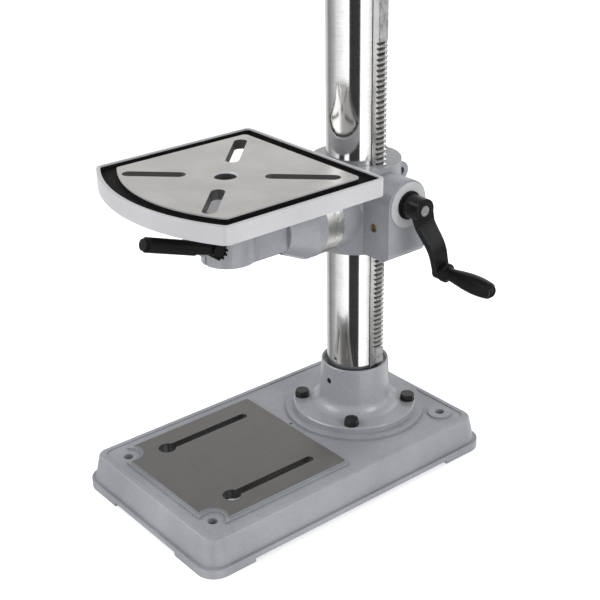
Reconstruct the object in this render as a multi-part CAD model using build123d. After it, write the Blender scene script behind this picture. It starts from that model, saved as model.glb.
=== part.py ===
from build123d import *
import math
import os

# Benchtop drill press. Millimetres, +Z up, origin at floor level in the centre of the
# base's bolt pattern. -Y is the operator's side, +X the operator's right, +Y the column side.

# ---------------------------------------------------------------- driving dimensions
FOOT_X, FOOT_Y = 272.0, 448.0        # outline of the base on the floor
TOP_X, TOP_Y = 249.6, 425.8          # outline of the base at its top edge
TOP_Z = 45.0                         # top edge of the base
WALL = 8.0                           # cast wall of the base
BOLT_X, BOLT_Y = 180.0, 370.0        # spacing of the base's bolt holes
BOLT_R = 6.1

COLUMN_Y = 114.5                     # column axis
COLUMN_R = 36.5
COLUMN_TOP = 838.0
SPINDLE_Y = -81.5                    # spindle and table centre
TABLE_Z = 416.0                      # working surface of the table

MODULE = 2.0                         # rack, lift gear and worm
PITCH = math.pi * MODULE
RACK_TIP_X = 47.4                    # crest of the rack's teeth
RACK_W = 14.2
RACK_LOW, RACK_HIGH = 112.0, 620.0
TOOTH_LOW = 149.0                    # first tooth space
TOOTH_COUNT = 63

GEAR_TEETH = 20
GEAR_R = MODULE * GEAR_TEETH / 2     # pitch radius
GEAR_X = RACK_TIP_X - MODULE + GEAR_R
WORM_R = 10.0                        # mean radius of the worm's thread
CRANK_Z = 357.5                      # crank and worm axis
GEAR_Z = CRANK_Z - WORM_R - GEAR_R
CRANK_END_X = 121.0                  # outer face of the crank's hub
CRANK_Y, CRANK_DROP = 18.7, 77.4     # crank pin, measured from the crank axis
PIN_X = 138.0                        # outer end of the crank's boss, clear of the table's edge

BARREL_R = 56.0
BARREL_LOW, BARREL_HIGH = 286.5, 393.5
HOUSING_X = 92.0
HOUSING_HALF = 29.9
TILT_Z = 334.0                       # tilt axis of the table arm
TILT_R = 47.0
JOINT_Y = 43.0                       # face between the arm and the bracket

TABLE_HALF = 126.3
TABLE_BACK = 129.2
TABLE_SIDE = 91.7                    # where the sides meet the curved front
TABLE_FRONT = 128.1
RIM_H = 20.6
RIM_T = 4.2
LAND_INSET = 20.4                    # from the table's edge to its ground surface
HUB_R = 32.3
HUB_LOW, HUB_HIGH = 315.0, 379.5
STUB_R = 19.0

HEAD_LOW, HEAD_HIGH = 712.0, 846.0
HEAD_HALF = 60.0
SLEEVE_R = 50.0
SLEEVE_LOW = 664.0
QUILL_R = 22.5
QUILL_LOW, QUILL_HIGH = 686.0, 838.0
SPINDLE_TOP = 930.0                  # splined end, in the pulley over the whole travel
FEED_Z = 762.0                       # feed shaft axis
FEED_MODULE = 1.5
FEED_TEETH = 16
FEED_R = FEED_MODULE * FEED_TEETH / 2
FEED_Y = SPINDLE_Y + QUILL_R - FEED_MODULE + FEED_R
CHUCK_R = 21.0
CHUCK_LOW, CHUCK_HIGH = 624.0, 682.0
MOTOR_Y = 246.0
MOTOR_R = 62.0
MOTOR_LOW, MOTOR_HIGH = 690.0, 836.0
PAN_Z = 850.0                        # floor of the belt cover
LID_Z = 892.0                        # edge between the belt cover and its lid
COVER_TOP = 938.0
COVER_R = 88.0

RUN = 0.05                           # radial clearance of a running fit
GAP = 0.3                            # clearance between neighbouring bodies


# ---------------------------------------------------------------- helpers
def cyl_z(r, z0, z1, x=0.0, y=0.0):
    return Pos(x, y, (z0 + z1) / 2) * Cylinder(r, z1 - z0)


def cyl_x(r, x0, x1, y, z):
    return Pos((x0 + x1) / 2, y, z) * Rot(0, 90, 0) * Cylinder(r, x1 - x0)


def cyl_y(r, y0, y1, x, z):
    return Pos(x, (y0 + y1) / 2, z) * Rot(90, 0, 0) * Cylinder(r, y1 - y0)


def cone_y(r0, r1, y0, y1, x, z):
    return Pos(x, (y0 + y1) / 2, z) * Rot(-90, 0, 0) * Cone(r0, r1, y1 - y0)


def block(x0, x1, y0, y1, z0, z1):
    return Pos((x0 + x1) / 2, (y0 + y1) / 2, (z0 + z1) / 2) * Box(x1 - x0, y1 - y0, z1 - z0)


def cone_z(r0, r1, z0, z1, x=0.0, y=0.0):
    return Pos(x, y, (z0 + z1) / 2) * Cone(r0, r1, z1 - z0)


def hexagon(across, z0, z1, x=0.0, y=0.0):
    side = RegularPolygon(across / 2, 6, major_radius=False)
    return Pos(x, y, z0) * extrude(side, z1 - z0)


def plate(x, y, r, z0, z1, taper=0.0, cy=0.0):
    return Pos(0, cy, z0) * extrude(RectangleRounded(x, y, r), z1 - z0, taper=taper)


def corners(x, y):
    return [(sx * x / 2, sy * y / 2) for sx in (-1, 1) for sy in (-1, 1)]


def group(shapes):
    return Compound(children=[s if isinstance(s, Solid) else s.solids()[0] for s in shapes])


def write(node, shape):
    os.makedirs("parts", exist_ok=True)
    export_step(shape, f"parts/{node}.step")


# ---------------------------------------------------------------- base, foot and column
PAD_Z = 49.0
PAD_X = 201.4
PAD_Y0, PAD_Y1 = -191.4, 10.5
RECESS_Z = 44.0
BOSS_R, BOSS_Z = 92.0, 47.5
FOOT_BOLT_PCD = 140.3
SLOT_X = 68.0


def keyhole(x, z0, z1):
    big = cyl_z(11.0, z0, z1, x, -141.0)
    slot = block(x - 5.5, x + 5.5, -141.0, -22.0, z0, z1) + cyl_z(5.5, z0, z1, x, -22.0)
    return big + slot


def base():
    lip = 12.0
    body = plate(FOOT_X, FOOT_Y, 24, 0, lip)
    body = body - block(-200, 200, -159, 154, -1, 5) - block(-65, 65, -300, 300, -1, 5)
    top_draft = math.degrees(math.atan((FOOT_X - 8 - TOP_X) / 2 / (TOP_Z - lip)))
    body += plate(FOOT_X - 8, FOOT_Y - 8, 22, lip, TOP_Z, taper=top_draft)
    body = fillet(body.edges().group_by(Axis.Z)[-1], 3.5)
    body -= plate(TOP_X - 15, TOP_Y - 15, 12, RECESS_Z, TOP_Z + 1)
    body -= plate(TOP_X - 2 * WALL, TOP_Y - 2 * WALL, 14, -1, RECESS_Z - WALL)
    body += cyl_z(BOSS_R, RECESS_Z - 14, BOSS_Z, 0, COLUMN_Y)
    pad = plate(PAD_X, PAD_Y1 - PAD_Y0, 4, RECESS_Z - 2, PAD_Z, cy=(PAD_Y0 + PAD_Y1) / 2)
    step = plate(PAD_X + 7, PAD_Y1 - PAD_Y0 + 7, 7, RECESS_Z - 2, PAD_Z - 2.4,
                 cy=(PAD_Y0 + PAD_Y1) / 2)
    for x, y in corners(BOLT_X, BOLT_Y):
        pad -= cyl_z(19, RECESS_Z - 3, PAD_Z + 1, x, y)
        step -= cyl_z(16, RECESS_Z - 3, PAD_Z + 1, x, y)
    body += pad + step
    for x, y in corners(BOLT_X, BOLT_Y):
        rise = 2.2 if y > 0 else 0.0
        body += cyl_z(15.5, 0, RECESS_Z + rise, x, y)
    for y in (-100.0, 45.0):
        body += block(-TOP_X / 2 + 4, TOP_X / 2 - 4, y - 3, y + 3, 18, RECESS_Z - 4)
    for x, y in corners(BOLT_X, BOLT_Y):
        body -= cyl_z(BOLT_R, -1, 60, x, y)
    for x in (-SLOT_X, SLOT_X):
        body -= keyhole(x, 10, 60)
    body -= cyl_z(COLUMN_R + 4, 20, 60, 0, COLUMN_Y)
    body -= cyl_z(2.2, 20, 60, -18, 19)
    for x, y in foot_bolt_places():
        body -= cyl_z(4.3, 25, 60, x, y)
    return body


def foot_bolt_places():
    r = FOOT_BOLT_PCD / 2 * math.sin(math.radians(45))
    return [(sx * r, COLUMN_Y + sy * r) for sx in (-1, 1) for sy in (-1, 1)]


FLANGE_R, FLANGE_Z = 80.9, 56.2
COLLAR_R, COLLAR_Z = 43.8, 118.5


def column_foot():
    outline = Polyline((0, BOSS_Z), (FLANGE_R, BOSS_Z), (FLANGE_R, FLANGE_Z - 1.5),
                       (FLANGE_R - 1.5, FLANGE_Z), (60, FLANGE_Z))
    curve = RadiusArc((60, FLANGE_Z), (46.4, FLANGE_Z + 15), 16)
    rest = Polyline((46.4, FLANGE_Z + 15), (COLLAR_R, COLLAR_Z - 1.5),
                    (COLLAR_R - 1.5, COLLAR_Z), (0, COLLAR_Z), (0, BOSS_Z))
    face = Plane.XZ * make_face(outline + curve + rest)
    foot = Pos(0, COLUMN_Y, 0) * revolve(face, Axis.Z)
    foot -= cyl_z(COLUMN_R, 40, 130, 0, COLUMN_Y)
    foot -= cyl_z(40.2, RACK_LOW - 0.5, 130, 0, COLUMN_Y)
    foot -= cone_z(40.2, 42.2, COLLAR_Z - 2, COLLAR_Z + 0.01, 0, COLUMN_Y)
    for x, y in foot_bolt_places():
        foot -= cyl_z(5.2, 40, 130, x, y)
        foot -= cyl_z(10.5, FLANGE_Z, FLANGE_Z + 8, x, y)
    foot -= cyl_y(4.0, COLUMN_Y - 60, COLUMN_Y, 0, 97)
    return foot


def foot_bolts():
    bolts = []
    for x, y in foot_bolt_places():
        head = hexagon(16.5, FLANGE_Z + 1.2, FLANGE_Z + 8.4, x, y)
        head = head & cone_z(11.5, 7.8, FLANGE_Z, FLANGE_Z + 10.4, x, y)
        washer = cyl_z(9.6, FLANGE_Z, FLANGE_Z + 1.2, x, y)
        bolts.append(cyl_z(4.25, 27, FLANGE_Z + 2, x, y) + washer + head)
    return group(bolts)


def set_screw_y(r, y0, y1, x, z):
    screw = cyl_y(r, y0, y1, x, z)
    socket = Pos(x, y0 + 3, z) * Rot(90, 0, 0) * extrude(RegularPolygon(r * 0.5, 6), 4)
    return screw - socket


def column():
    tube = cyl_z(COLUMN_R, 40, COLUMN_TOP, 0, COLUMN_Y) - cyl_z(32.5, 39, 850, 0, COLUMN_Y)
    tube -= cyl_y(2.0, COLUMN_Y - 60, COLUMN_Y, 3.5, 128.4)
    return tube


def rack():
    half = RACK_W / 2
    back = COLUMN_R + 0.3
    bar = block(back, RACK_TIP_X, COLUMN_Y - half, COLUMN_Y + half, RACK_LOW, RACK_HIGH)
    bar = chamfer(bar.edges().filter_by(Axis.Z).group_by(Axis.X)[-1], 0.6)
    outer = RACK_TIP_X + 1
    for z0, z1, z2 in ((RACK_LOW - 1, COLLAR_Z + 1.5, 130.0), (RACK_HIGH + 1, 603.5, 592.0)):
        wedge = Polyline((back + 2.6, z0), (back + 2.6, z1), (outer, z2), (outer, z0),
                         (back + 2.6, z0))
        tool = extrude(Plane.XZ * make_face(wedge), 40, both=True)
        bar -= Pos(0, COLUMN_Y, 0) * tool
    depth = 2.25 * MODULE
    tip_half = PITCH / 4 + MODULE * math.tan(math.radians(20))
    root_half = tip_half - depth * math.tan(math.radians(20))
    space = Polyline((RACK_TIP_X + 0.5, -tip_half - 0.18), (RACK_TIP_X - depth, -root_half),
                     (RACK_TIP_X - depth, root_half), (RACK_TIP_X + 0.5, tip_half + 0.18),
                     (RACK_TIP_X + 0.5, -tip_half - 0.18))
    cutter = Pos(0, COLUMN_Y, 0) * extrude(Plane.XZ * make_face(space), 20, both=True)
    bar -= [Pos(0, 0, rack_space(i)) * cutter for i in range(TOOTH_COUNT)]
    return bar


def rack_space(i):
    first = GEAR_Z - PITCH * math.floor((GEAR_Z - TOOTH_LOW) / PITCH)
    return first + i * PITCH


RING_LOW = 605.0
RING_SCREW_Z = 626.5


def rack_ring():
    z0, z1 = RING_LOW, RING_LOW + 27
    ring = cyl_z(46.5, z0, z1, 0, COLUMN_Y) - cyl_z(COLUMN_R, z0 - 1, z1 + 1, 0, COLUMN_Y)
    ring = chamfer(ring.edges().group_by(Axis.Z)[-1], 1.2)
    ring -= cyl_z(40.2, z0 - 1, RACK_HIGH + 0.5, 0, COLUMN_Y)
    ring -= cyl_y(3.5, COLUMN_Y - 60, COLUMN_Y, 0, RING_SCREW_Z)
    return ring


# ---------------------------------------------------------------- table bracket and lift
EAR_Y, EAR_Z = 170.0, 368.0


def bracket_slot():
    half = RACK_W / 2 + 0.6
    return block(0, RACK_TIP_X + 0.8, COLUMN_Y - half, COLUMN_Y + half, 200, 500)


def table_bracket():
    body = cyl_z(BARREL_R, BARREL_LOW, BARREL_HIGH, 0, COLUMN_Y)
    body += cyl_y(TILT_R, JOINT_Y + 13, COLUMN_Y, 0, TILT_Z)
    body += block(20, HOUSING_X, COLUMN_Y - HOUSING_HALF, COLUMN_Y + HOUSING_HALF,
                  BARREL_LOW + 2, CRANK_Z)
    body += cyl_x(HOUSING_HALF, 20, HOUSING_X, COLUMN_Y, CRANK_Z)
    low = body.edges().filter_by(Axis.Y).filter_by_position(Axis.X, HOUSING_X - 1, HOUSING_X + 1)
    body = fillet(low, 12)
    body += cyl_y(TILT_R - 0.6, JOINT_Y, JOINT_Y + 14, 0, TILT_Z)
    body += block(1, 23, EAR_Y - 22, EAR_Y, EAR_Z - 12, EAR_Z + 12)
    body += block(-23, -1, EAR_Y - 22, EAR_Y, EAR_Z - 12, EAR_Z + 12)
    body += cyl_x(12, -23, 23, EAR_Y, EAR_Z)
    for x0, x1 in ((-60, -23), (23, 60)):
        body -= cyl_x(12.2, x0, x1, EAR_Y, EAR_Z)
    body -= block(-1.5, 1.5, EAR_Y - 40, EAR_Y + 20, 200, 500)
    body -= cyl_z(COLUMN_R + 0.25, 200, 500, 0, COLUMN_Y)
    body -= bracket_slot()
    body -= cyl_y(GEAR_R + MODULE + 0.8, COLUMN_Y - 10.2, COLUMN_Y + 10.2, GEAR_X, GEAR_Z)
    body -= cyl_x(12.9, 40, HOUSING_X + 1, COLUMN_Y, CRANK_Z)
    body -= cyl_y(5.5, COLUMN_Y - 40, COLUMN_Y + 40, GEAR_X, GEAR_Z)
    body -= cyl_x(5.2, -40, 40, EAR_Y, EAR_Z)
    body -= cyl_y(8.5, JOINT_Y - 1, JOINT_Y + 22, 0, TILT_Z)
    return body


def gear_pin():
    return cyl_y(5.5, COLUMN_Y - 26.5, COLUMN_Y - 10.2, GEAR_X, GEAR_Z) + cyl_y(
        5.0, COLUMN_Y - 10.2, COLUMN_Y + 10.2, GEAR_X, GEAR_Z) + cyl_y(
        5.5, COLUMN_Y + 10.2, COLUMN_Y + 26.5, GEAR_X, GEAR_Z)


def lift_gear():
    tip, root = GEAR_R + 1.6, GEAR_R - 2.4
    half_root, half_pitch, half_tip = 1.75, 1.2, 0.55
    step = 360 / GEAR_TEETH
    tooth = Polyline((root - 2, -half_root), (root, -half_root), (GEAR_R, -half_pitch),
                     (tip, -half_tip), (tip, half_tip), (GEAR_R, half_pitch),
                     (root, half_root), (root - 2, half_root), (root - 2, -half_root))
    tooth_face = make_face(tooth)
    disc = Circle(root)
    for i in range(GEAR_TEETH):
        disc += Rot(0, 0, (i + 0.5) * step) * tooth_face
    disc -= Circle(5.0 + RUN)
    blank = extrude(disc, 9, both=True)
    phase = 180 + step / 2
    return Pos(GEAR_X, COLUMN_Y, GEAR_Z) * Rot(90, 0, 0) * Rot(0, 0, phase) * blank


def worm_shaft():
    x0, x1 = 51.0, 80.0
    turns = (x1 - x0) / PITCH
    section = Plane.YZ.offset(x0) * Pos(COLUMN_Y, CRANK_Z) * Circle(WORM_R - 0.2)
    phase = math.radians(90) - 2 * math.pi * (GEAR_X - x0) / PITCH
    shift = Vector(0, 1.9 * math.cos(phase), 1.9 * math.sin(phase))
    thread = Solid.extrude_linear_with_rotation(
        (Pos(*shift) * section).face(), center=Vector(x0, COLUMN_Y, CRANK_Z),
        normal=Vector(x1 - x0, 0, 0), angle=360 * turns)
    shaft = cyl_x(7.0, 50.4, HOUSING_X + 2.5, COLUMN_Y, CRANK_Z)
    shaft += cyl_x(6.3, HOUSING_X + 2, CRANK_END_X + 0.5, COLUMN_Y, CRANK_Z)
    return shaft + thread


def worm_bush():
    bush = cyl_x(12.9, 82, HOUSING_X, COLUMN_Y, CRANK_Z)
    bush += cyl_x(27.9, HOUSING_X, HOUSING_X + 2.2, COLUMN_Y, CRANK_Z)
    return bush - cyl_x(7.0 + RUN, 80, 100, COLUMN_Y, CRANK_Z)


def crank_arm():
    """Hub, flat arm cranked outwards past the table's edge, and the boss of the grip."""
    hub = cyl_x(14.5, HOUSING_X + 4.2, CRANK_END_X, COLUMN_Y, CRANK_Z)
    hub += cyl_x(17.5, HOUSING_X + 2.6, HOUSING_X + 4.2, COLUMN_Y, CRANK_Z)
    reach = math.hypot(CRANK_Y, CRANK_DROP)
    lean = math.degrees(math.atan2(CRANK_Y, CRANK_DROP))
    x0, x1 = CRANK_END_X, PIN_X - 1.6
    outer = Spline((x0, -15), (x1, -58), tangents=[(0.25, -1), (0, -1)])
    inner = Spline((x1 - 8.7, -62), (x0 - 9.5, -18), tangents=[(0, 1), (-0.25, 1)])
    side = Polyline((x0, 0), outer @ 0) + outer + Polyline(outer @ 1, (x1, -reach),
                                                          (x1 - 8.7, -reach), inner @ 0)
    side += inner + Polyline(inner @ 1, (x0 - 9.5, 0), (x0, 0))
    blade = extrude(Plane.XZ * make_face(side), 20, both=True)
    front = make_face(Polyline((-13.2, 0), (13.2, 0), (10.6, -reach), (-10.6, -reach), close=True))
    blade = blade & (Pos(100, 0, 0) * extrude(Plane.YZ * front, 45))
    blade = fillet(blade.edges().filter_by(GeomType.BSPLINE), 1.2)
    y, z = COLUMN_Y + CRANK_Y, CRANK_Z - CRANK_DROP
    arm = hub + Pos(0, COLUMN_Y, CRANK_Z) * Rot(lean, 0, 0) * blade
    arm += cyl_x(10.8, PIN_X - 10.3, PIN_X, y, z)
    arm -= cyl_x(6.3, 80, 140, COLUMN_Y, CRANK_Z)
    arm -= cyl_x(4.0, 100, 150, y, z)
    return arm - cyl_y(3.0, COLUMN_Y - 20, COLUMN_Y - 6.6, 104, CRANK_Z)


GRIP_X = PIN_X + 0.4
GRIP_LENGTH = 75.5


def crank_grip():
    y, z = COLUMN_Y + CRANK_Y, CRANK_Z - CRANK_DROP
    x, x1 = GRIP_X, GRIP_X + GRIP_LENGTH
    profile = Polyline((x, 0), (x, 11.6), (x + 5, 11.6), (x + 6, 8.6), (x + 12, 7.8))
    swell = Spline((x + 12, 7.8), (x + 40, 11.2), (x1 - 4, 9.6),
                   tangents=[(1, 0.12), (1, -0.2)])
    close = Polyline((x1 - 4, 9.6), (x1, 6.5), (x1, 0), (x, 0))
    face = make_face(profile + swell + close)
    grip = Pos(0, y, z) * revolve(face, Axis.X)
    grip -= cyl_x(4.0 + RUN, x - 1, x1 + 1, y, z)
    return grip - cyl_x(6.4, x1 - 6.2, x1 + 1, y, z)


def crank_grip_bolt():
    y, z = COLUMN_Y + CRANK_Y, CRANK_Z - CRANK_DROP
    x1 = GRIP_X + GRIP_LENGTH - 6
    bolt = cyl_x(4.0, PIN_X - 12, x1, y, z) + cyl_x(6.2, x1, x1 + 4.5, y, z)
    return bolt - block(x1 + 3, x1 + 5, y - 0.8, y + 0.8, z - 7, z + 7)


def column_lock_screw():
    screw = cyl_x(5.0, -40, 19, EAR_Y, EAR_Z)
    return screw + cyl_x(8.5, -25, -23, EAR_Y, EAR_Z)


def lever(hub_x, y, z, side, angle, length):
    """Clamping lever on a screw along X. Its grip points at angle, from -Y towards +Z."""
    hub = cyl_x(8.6, min(hub_x, hub_x + side * 24), max(hub_x, hub_x + side * 24), y, z)
    for i in range(10):
        a = 2 * math.pi * i / 10
        rib = cyl_x(1.5, min(hub_x + side * 4, hub_x + side * 26),
                    max(hub_x + side * 4, hub_x + side * 26),
                    y + 8.4 * math.cos(a), z + 8.4 * math.sin(a))
        hub += rib
    neck = cone_z(6.0, 7.4, 0, 30)
    grip = cyl_z(8.5, 30, length - 4) + cyl_z(6.6, length - 4, length)
    arm = neck + grip
    arm = Pos(hub_x + side * 16, y, z) * Rot(90 - angle, 0, 0) * arm
    return hub + arm


def column_lock_lever():
    body = lever(-25.4, EAR_Y, EAR_Z, -1, 250, 78)
    return body - cyl_x(5.0 + RUN, -60, 0, EAR_Y, EAR_Z)


# ---------------------------------------------------------------- table arm and table
LOCK_Y, LOCK_Z = -121.5, 347.0


def table_arm():
    hub = cyl_z(HUB_R, HUB_LOW, HUB_HIGH, 0, SPINDLE_Y)
    ear = cyl_x(14, -13, 13, LOCK_Y, LOCK_Z)
    ear += block(-13, 13, LOCK_Y, SPINDLE_Y, LOCK_Z - 14, LOCK_Z + 14)
    beam = block(-25, 25, SPINDLE_Y, 5, 309, 372)
    beam = fillet(beam.edges().filter_by(Axis.Y), 9)
    rear = cone_y(32, TILT_R, -14, 18.5, 0, TILT_Z)
    flange = cyl_y(TILT_R, 18.5, 30.5, 0, TILT_Z) + cyl_y(TILT_R - 2.2, 30, JOINT_Y, 0, TILT_Z)
    arm = hub + ear + beam + rear + flange
    arm -= cyl_z(STUB_R + RUN, 300, 400, 0, SPINDLE_Y)
    arm -= block(-1.2, 1.2, LOCK_Y - 20, SPINDLE_Y, 300, 400)
    arm -= cyl_x(5.2, -20, 20, LOCK_Y, LOCK_Z)
    arm -= cyl_y(8.2, 8, 50, 0, TILT_Z)
    arm -= cyl_y(13, -40, 8, 0, TILT_Z) & block(-30, 30, -40, 8, 200, TILT_Z + 13)
    arm -= block(-13, 13, -40, 4, 300, TILT_Z)
    return arm


def tilt_bolt():
    bolt = cyl_y(8.0, 6, JOINT_Y + 20, 0, TILT_Z) + cyl_y(12.2, 5.4, 8, 0, TILT_Z)
    head = Pos(0, 5.4, TILT_Z) * Rot(90, 0, 0) * extrude(RegularPolygon(10.5, 6,
                                                        major_radius=False), 9)
    return bolt + head


def tilt_scale():
    band = cyl_y(TILT_R - 0.6, 30.5, JOINT_Y - 0.3, 0, TILT_Z)
    return band - cyl_y(TILT_R - 2.2, 29, JOINT_Y + 1, 0, TILT_Z)


def tilt_pointer():
    lug = block(-4, 4, 47, 56, TILT_Z + TILT_R - 0.6, TILT_Z + TILT_R + 1.6)
    tip = Polyline((-3, 47.5), (3, 47.5), (0, 38), (-3, 47.5))
    blade = Pos(0, 0, TILT_Z + TILT_R + 0.4) * extrude(make_face(tip), 1.2)
    return lug + blade


def table_lock_screw():
    screw = cyl_x(5.0, -22, 30, LOCK_Y, LOCK_Z) + cyl_x(9.5, 13, 15.4, LOCK_Y, LOCK_Z)
    nut = Pos(-13, LOCK_Y, LOCK_Z) * Rot(0, -90, 0) * extrude(
        RegularPolygon(8, 6, major_radius=False), 7)
    return screw + nut


def table_lock_lever():
    body = lever(15.8, LOCK_Y, LOCK_Z, 1, 19, 99)
    return body - cyl_x(5.0 + RUN, 0, 31, LOCK_Y, LOCK_Z)


def table_outline(inset, corner):
    """Square-backed outline with a bowed front, inset from the table's edge."""
    half, back = TABLE_HALF - inset, TABLE_BACK - inset
    side, front = TABLE_SIDE - inset * 0.75, TABLE_FRONT - inset
    edge = Polyline((-half, -side), (-half, back), (half, back), (half, -side))
    bow = ThreePointArc((-half, -side), (0, -front), (half, -side))
    face = make_face(edge + bow)
    return Pos(0, SPINDLE_Y, 0) * fillet(face.vertices(), corner)


def table_solid(inset, corner, z0, z1):
    return Pos(0, 0, z0) * extrude(table_outline(inset, corner), z1 - z0)


def table_slot(angle, r0, r1):
    long = r1 - r0
    shape = SlotOverall(long, 16)
    tool = extrude(shape, 60, both=True)
    return Pos(0, SPINDLE_Y, TABLE_Z) * Rot(0, 0, angle) * Pos((r0 + r1) / 2, 0, 0) * tool


def table():
    skirt_z = TABLE_Z - RIM_H
    body = table_solid(0, 9, skirt_z, TABLE_Z)
    body = fillet(body.edges().group_by(Axis.Z)[-1], 1.2)
    body -= table_solid(RIM_T + 1.5, 7, skirt_z - 1, TABLE_Z - 12)
    groove = table_solid(RIM_T, 6, TABLE_Z - 6, TABLE_Z + 1)
    groove -= table_solid(LAND_INSET, 6, TABLE_Z - 8, TABLE_Z + 2)
    body -= groove
    for x0, x1, y0, y1 in ((-118, 118, -3, 3), (-3, 3, -118, 118)):
        body += block(x0, x1, SPINDLE_Y + y0, SPINDLE_Y + y1, skirt_z + 1, TABLE_Z - 11)
    body += cyl_z(31, HUB_HIGH + GAP, TABLE_Z - 11, 0, SPINDLE_Y)
    body += cyl_z(STUB_R, 322, TABLE_Z - 11, 0, SPINDLE_Y)
    body -= cyl_z(12.7, 300, 450, 0, SPINDLE_Y)
    body -= cone_z(12.7, 14.9, TABLE_Z - 2.2, TABLE_Z + 0.01, 0, SPINDLE_Y)
    for angle in (225, 315):
        body -= table_slot(angle, 45, 118)
    for angle in (45, 135):
        body -= table_slot(angle, 45, 130)
    return body


# ---------------------------------------------------------------- head
HEAD_SCREW_Z = (684.0, 760.0)
STOP_X, STOP_Y = 22.0, -139.0        # depth stop rod
NOSE_LOW = 700.0


def head_side():
    """Side outline of the head in the Y-Z plane, from the quill to the column."""
    points = [(-128, HEAD_LOW + 6), (-120, HEAD_LOW), (38, HEAD_LOW), (72, HEAD_LOW - 30),
              (158, HEAD_LOW - 30), (158, HEAD_HIGH), (-120, HEAD_HIGH), (-128, HEAD_HIGH - 8)]
    return make_face(Polyline(*points, close=True))


def head_casting():
    body = Pos(-HEAD_HALF, 0, 0) * extrude(Plane.YZ * head_side(), 2 * HEAD_HALF)
    body = fillet(body.edges().filter_by(Axis.Z).group_by(Axis.Y)[0], 26)
    body = fillet(body.edges().filter_by(Axis.Z).group_by(Axis.Y)[-1], 42)
    body -= block(-HEAD_HALF + 7, HEAD_HALF - 7, -98, 58, HEAD_LOW + 7, HEAD_HIGH - 7)
    body += cyl_z(33, NOSE_LOW, HEAD_HIGH, 0, SPINDLE_Y)
    body += cyl_z(SLEEVE_R, SLEEVE_LOW, HEAD_HIGH, 0, COLUMN_Y)
    body += cyl_x(24, HEAD_HALF - 2, HEAD_HALF + 6, FEED_Y, FEED_Z)
    body += cyl_x(30, -HEAD_HALF - 4, -HEAD_HALF + 2, FEED_Y, FEED_Z)
    body += cyl_x(14, -HEAD_HALF + 2, HEAD_HALF - 2, FEED_Y, FEED_Z)
    body += block(STOP_X - 11, STOP_X + 11, STOP_Y - 10, -110, 734, 750)
    body += block(-40, 40, 150, 172, 716, 790)
    body -= cyl_z(QUILL_R + RUN, 650, HEAD_HIGH - 6, 0, SPINDLE_Y)
    body -= cyl_z(18, 650, 900, 0, SPINDLE_Y)
    body -= cyl_z(COLUMN_R, 650, COLUMN_TOP, 0, COLUMN_Y)
    body -= cyl_x(FEED_R + FEED_MODULE + 0.6, -12, 12, FEED_Y, FEED_Z)
    body -= cyl_x(9.0 + RUN, -100, 100, FEED_Y, FEED_Z)
    body -= cyl_z(4.3, 700, 800, STOP_X, STOP_Y)
    for z in HEAD_SCREW_Z:
        body -= cyl_x(4.0, 30, 80, COLUMN_Y, z)
    for x, z in mount_bolt_places():
        body -= cyl_y(3.4, 158, 180, x, z)
    return body


def set_screws():
    """Screws that hold the foot, the rack ring and the head on the column."""
    front = COLUMN_Y - COLUMN_R
    screws = [set_screw_y(4.0, COLUMN_Y - 43.3, front, 0, 97),
              set_screw_y(3.5, COLUMN_Y - 46, front, 0, RING_SCREW_Z)]
    for z, x1 in zip(HEAD_SCREW_Z, (SLEEVE_R, HEAD_HALF)):
        screws.append(cyl_x(4.0, COLUMN_R, x1 - 1, COLUMN_Y, z))
    return group(screws)


def quill():
    body = cyl_z(QUILL_R, QUILL_LOW, QUILL_HIGH, 0, SPINDLE_Y)
    body -= cyl_z(15.0, QUILL_LOW - 1, QUILL_LOW + 14, 0, SPINDLE_Y)
    body -= cyl_z(12.0, 600, 900, 0, SPINDLE_Y)
    body -= cyl_z(15.0, QUILL_HIGH - 12, QUILL_HIGH + 1, 0, SPINDLE_Y)
    pitch = math.pi * FEED_MODULE
    depth = 2.2 * FEED_MODULE
    edge = SPINDLE_Y + QUILL_R
    space = Polyline((edge - depth, -0.9), (edge + 1, -2.1), (edge + 1, 2.1),
                     (edge - depth, 0.9), close=True)
    cutter = extrude(Plane.YZ * make_face(space), 8, both=True)
    body -= [Pos(0, 0, FEED_Z + i * pitch) * cutter for i in range(-3, 16)]
    body -= block(-8, 8, edge - 0.9, edge + 1, FEED_Z - 3 * pitch, FEED_Z + 15 * pitch)
    return body


def quill_bearings():
    races = []
    for z0, z1 in ((QUILL_LOW + 1, QUILL_LOW + 13), (QUILL_HIGH - 12, QUILL_HIGH - 1)):
        races.append(cyl_z(15, z0, z1, 0, SPINDLE_Y) - cyl_z(8.5 + RUN, z0 - 1, z1 + 1, 0, SPINDLE_Y))
    return group(races)


def spindle():
    shaft = cyl_z(8.5, CHUCK_HIGH + 1, SPINDLE_TOP, 0, SPINDLE_Y)
    shaft += cyl_z(11.5, CHUCK_HIGH + 1, QUILL_LOW - 0.6, 0, SPINDLE_Y)
    shaft += cone_z(7.0, 7.8, CHUCK_HIGH - 14, CHUCK_HIGH + 1, 0, SPINDLE_Y)
    for i in range(6):
        spline = block(6.9, 9, -1.5, 1.5, QUILL_HIGH + 4, SPINDLE_TOP + 1)
        shaft -= Pos(0, SPINDLE_Y, 0) * Rot(0, 0, 60 * i) * spline
    return shaft


def quill_collar():
    z0, z1 = QUILL_LOW + 1, QUILL_LOW + 12
    ring = cyl_z(29, z0, z1, 0, SPINDLE_Y)
    ring += block(STOP_X - 9, STOP_X + 9, STOP_Y, SPINDLE_Y, z0, z1)
    ring += cyl_z(9, z0, z1, STOP_X, STOP_Y)
    ring += block(-7, 7, SPINDLE_Y + 24, SPINDLE_Y + 42, z0, z1)
    ring -= cyl_z(QUILL_R, z0 - 1, z1 + 1, 0, SPINDLE_Y)
    ring -= block(-1, 1, SPINDLE_Y + 10, SPINDLE_Y + 50, z0 - 1, z1 + 1)
    return ring - cyl_z(4.0, z0 - 1, z1 + 1, STOP_X, STOP_Y)


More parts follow.
